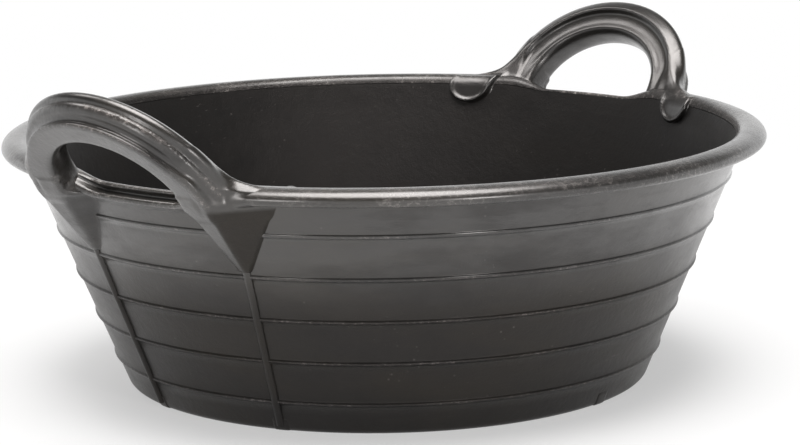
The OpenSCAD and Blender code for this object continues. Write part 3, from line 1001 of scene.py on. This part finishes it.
wall_rubber = rubber("wall_rubber", gloss=0.32, dust=(0.34, 0.31, 0.30, 1),
                     polish=1.5, haze=0.2, lumps=0.9, depth=6.2)
rim_rubber = rubber("rim_rubber", gloss=0.30, dust=(0.46, 0.43, 0.41, 1),
                    polish=1.25, haze=0.24, lumps=0.9, depth=6.2)
strap_rubber = rubber("strap_rubber", gloss=0.31, dust=(0.42, 0.38, 0.36, 1),
                      polish=1.3, haze=0.26, lumps=1.4, depth=30.0)

# The shell: floor and wall as one turned piece, the rim course as another
shell = shell_tree()
line, ring_share = wall_section()
zeros = np.zeros(len(line))
ring_sizes = {
    "Round Steps": ROUND_STEPS, "Gap From": GAP_FROM * MM, "Gap To": GAP_TO * MM, "Ring Count": RING_COUNT,
    "First Ring": FIRST_RING * MM, "Ring Pitch": RING_PITCH * MM, "Ring Proud": RING_PROUD * MM,
    "Ring Fade": RING_FADE * MM, "Ring Step": RING_STEP * MM, "Ring Bead": RING_BEAD * MM,
}
tub_wall = bake("tub_wall", section_mesh("tub_wall", line, line, ring_share, zeros, zeros), shell,
                {**ring_sizes, "Section Rows": len(line), "Material": wall_rubber})

# Wear on the rim's roll and crest, and on the shelf's nose and the top of the bare edge
row_ends = np.cumsum((0,) + ROW_COUNTS)
rim_wear = np.zeros(len(RIM_LINE))
rim_wear[row_ends[1]:row_ends[3]] = 0.22
rim_wear[row_ends[3]:row_ends[4]] = 0.3
sill_wear = np.zeros(len(SILL_LINE))
sill_wear[row_ends[1]:row_ends[2]] = 0.45
sill_wear[row_ends[3]:row_ends[4]] = 1.0
loop = np.arange(len(RIM_LINE) + 1) % len(RIM_LINE)
rim_section = section_mesh("tub_rim", RIM_LINE[loop], SILL_LINE[loop], np.zeros(len(loop)),
                           rim_wear[loop], sill_wear[loop])
tub_rim = bake("tub_rim", rim_section, shell,
               {**ring_sizes, "Section Rows": len(loop), "Material": rim_rubber})

rib_turns = [side + end * RIB_TURN for side in (0, math.pi) for end in (1, -1)]
tub_ribs = bake("tub_ribs", turn_points("tub_ribs", rib_turns), ribs_tree(), {
    "Foot Radius": outer_r(RIB_FOOT_Z) * MM, "Foot Height": RIB_FOOT_Z * MM,
    "Top Radius": outer_r(RIB_TOP_Z) * MM, "Top Height": RIB_TOP_Z * MM,
    "Width": RIB_W * MM, "Proud": RIB_PROUD * MM, "Rows": RIB_ROWS, "Material": wall_rubber})
foot_turns = rib_turns + [math.pi / 2, -math.pi / 2]
tub_feet = bake("tub_feet", turn_points("tub_feet", foot_turns), feet_tree(), {
    "Length": FOOT_L * MM, "Width": FOOT_W * MM, "Height": FOOT_H * MM,
    "Out": (BASE_R + FOOT_PROUD - FOOT_SINK) * MM, "Lean": SLOPE, "Material": wall_rubber})

handles = {side: handle_skin(side, strap_rubber) for side in ("left", "right")}

# The tub's pieces ride on its body, and every piece stands for its solids
for piece in (tub_wall, tub_rim, tub_ribs, tub_feet):
    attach(piece, "tub")
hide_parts("tub_floor", "left_wall", "right_wall")
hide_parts("front_rim", "back_rim", "left_sill", "right_sill")
corners = [side + "_" + end for side in ("left", "right") for end in ("front", "back")]
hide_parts(*(corner + "_rib" for corner in corners))
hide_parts(*(corner + "_foot" for corner in corners), "front_foot", "back_foot")
for side, skin in handles.items():
    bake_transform(skin)
    ends = [side + "_front", side + "_back"]
    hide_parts(side + "_handle", *(end + "_root" for end in ends), *(end + "_tongue" for end in ends))


# Floor, light and camera
def floor_paint():
    """Pale floor that still takes the tub's shadow."""
    material = bpy.data.materials.new("pale_floor")
    material.use_nodes = True
    tree = Tree(material.node_tree)
    path = tree.add("ShaderNodeLightPath", {}, {}, "Is Camera Ray")
    seen = (path + path.out("Is Glossy Ray") + path.out("Is Transmission Ray")).clip()
    matt = tree.add("ShaderNodeBsdfDiffuse", {}, {"Color": (0.9, 0.9, 0.9, 1)})
    white = tree.add("ShaderNodeEmission", {}, {"Color": (1, 1, 1, 1), "Strength": 1.0})
    spot = tree.add("ShaderNodeTexCoord", {}, {}, "Object")
    far = tree.add("ShaderNodeVectorMath", {"operation": "LENGTH"}, {0: spot}, 1)
    share = seen * (0.45 + tree.ramp(far, 0.165, 0.26) * 0.35 + tree.ramp(far, 0.28, 1.0) * 0.2)
    both = tree.add("ShaderNodeMixShader", {}, {0: share, 1: matt, 2: white})
    tree.add("ShaderNodeOutputMaterial", {}, {0: both})
    return material


FLOOR_HALF = 40
floor_mesh = bpy.data.meshes.new("floor")
floor_corners = [(x * FLOOR_HALF, y * FLOOR_HALF, 0) for x, y in ((-1, -1), (1, -1), (1, 1), (-1, 1))]
floor_mesh.from_pydata(floor_corners, [], [(0, 1, 2, 3)])
floor_mesh.materials.append(floor_paint())
floor = link("floor", floor_mesh)


def white_room():
    """White low down and dim above, with a brighter patch on the far side of the tub."""
    world = bpy.data.worlds.new("white_room")
    world.use_nodes = True
    tree = Tree(world.node_tree)
    way = tree.add("ShaderNodeTexCoord", {}, {}, "Generated")
    high = tree.add("ShaderNodeSeparateXYZ", {}, {0: way}, 2)
    sockets = {0: way, 1: (0.80, 0.55, 0.24)}
    behind = tree.add("ShaderNodeVectorMath", {"operation": "DOT_PRODUCT"}, sockets, 1)
    room = 1 - tree.ramp(high, 0.18, 0.44) * (0.9 - tree.ramp(behind, 0.84, 0.97) * 0.6)
    room = tree.add("ShaderNodeBackground", {}, {"Color": (1, 1, 1, 1), "Strength": room})
    tree.add("ShaderNodeOutputWorld", {}, {0: room})
    return world


bpy.context.scene.world = white_room()
LAMP_TONE = (1.0, 0.965, 0.945)


def soft_lamp(name, place, aim, size, watts):
    light = bpy.data.lights.new(name, "AREA")
    light.shape = "DISK"
    light.size = size
    light.energy = watts
    light.color = LAMP_TONE
    lamp = link(name, light)
    way = Vector(aim) - Vector(place)
    turn = way.to_track_quat("-Z", "Y").to_matrix().to_4x4()
    lamp.matrix_world = Matrix.Translation(place) @ turn


soft_lamp("top_lamp", (-0.12, -0.16, 2.2), (0, 0, 0.1), 1.8, 72)
soft_lamp("right_lamp", (-0.66, -1.46, 0.48), (0, 0, 0.1), 0.34, 5.0)
soft_lamp("left_lamp", (-1.58, -0.26, 0.48), (0, 0, 0.1), 0.34, 2.8)
soft_lamp("back_lamp", (-0.25, 1.35, 2.0), (0, 0, 0.12), 0.8, 9)

# The camera that was fitted to the photo: where it stands, what it faces, its roll, and how far to the
# right of and below what it faces it is aimed, as shares of the distance
EYE = Vector((-1.353358, -1.106868, 0.426424))
FACED = Vector((0, 0, 0.1472))
ROLL = -0.017395
SHIFT_RIGHT = 0.005513
SHIFT_DOWN = 0.030622
LENS = 130.015
ahead = (FACED - EYE).normalized()
across = ahead.cross(Vector((0, 0, 1))).normalized()
up = across.cross(ahead)
tipped = across * math.cos(ROLL) + up * math.sin(ROLL)
up = up * math.cos(ROLL) - across * math.sin(ROLL)
ahead = (ahead + SHIFT_RIGHT * tipped - SHIFT_DOWN * up).normalized()
across = (tipped - tipped.dot(ahead) * ahead).normalized()
up = across.cross(ahead)
camera = bpy.data.cameras.new("camera")
camera.sensor_width = 36
camera.lens = LENS
view = link("camera", camera)
view.matrix_world = Matrix((
    (across.x, up.x, -ahead.x, EYE.x),
    (across.y, up.y, -ahead.y, EYE.y),
    (across.z, up.z, -ahead.z, EYE.z),
    (0, 0, 0, 1),
))
bpy.context.scene.camera = view
bpy.context.scene.view_settings.view_transform = "Standard"
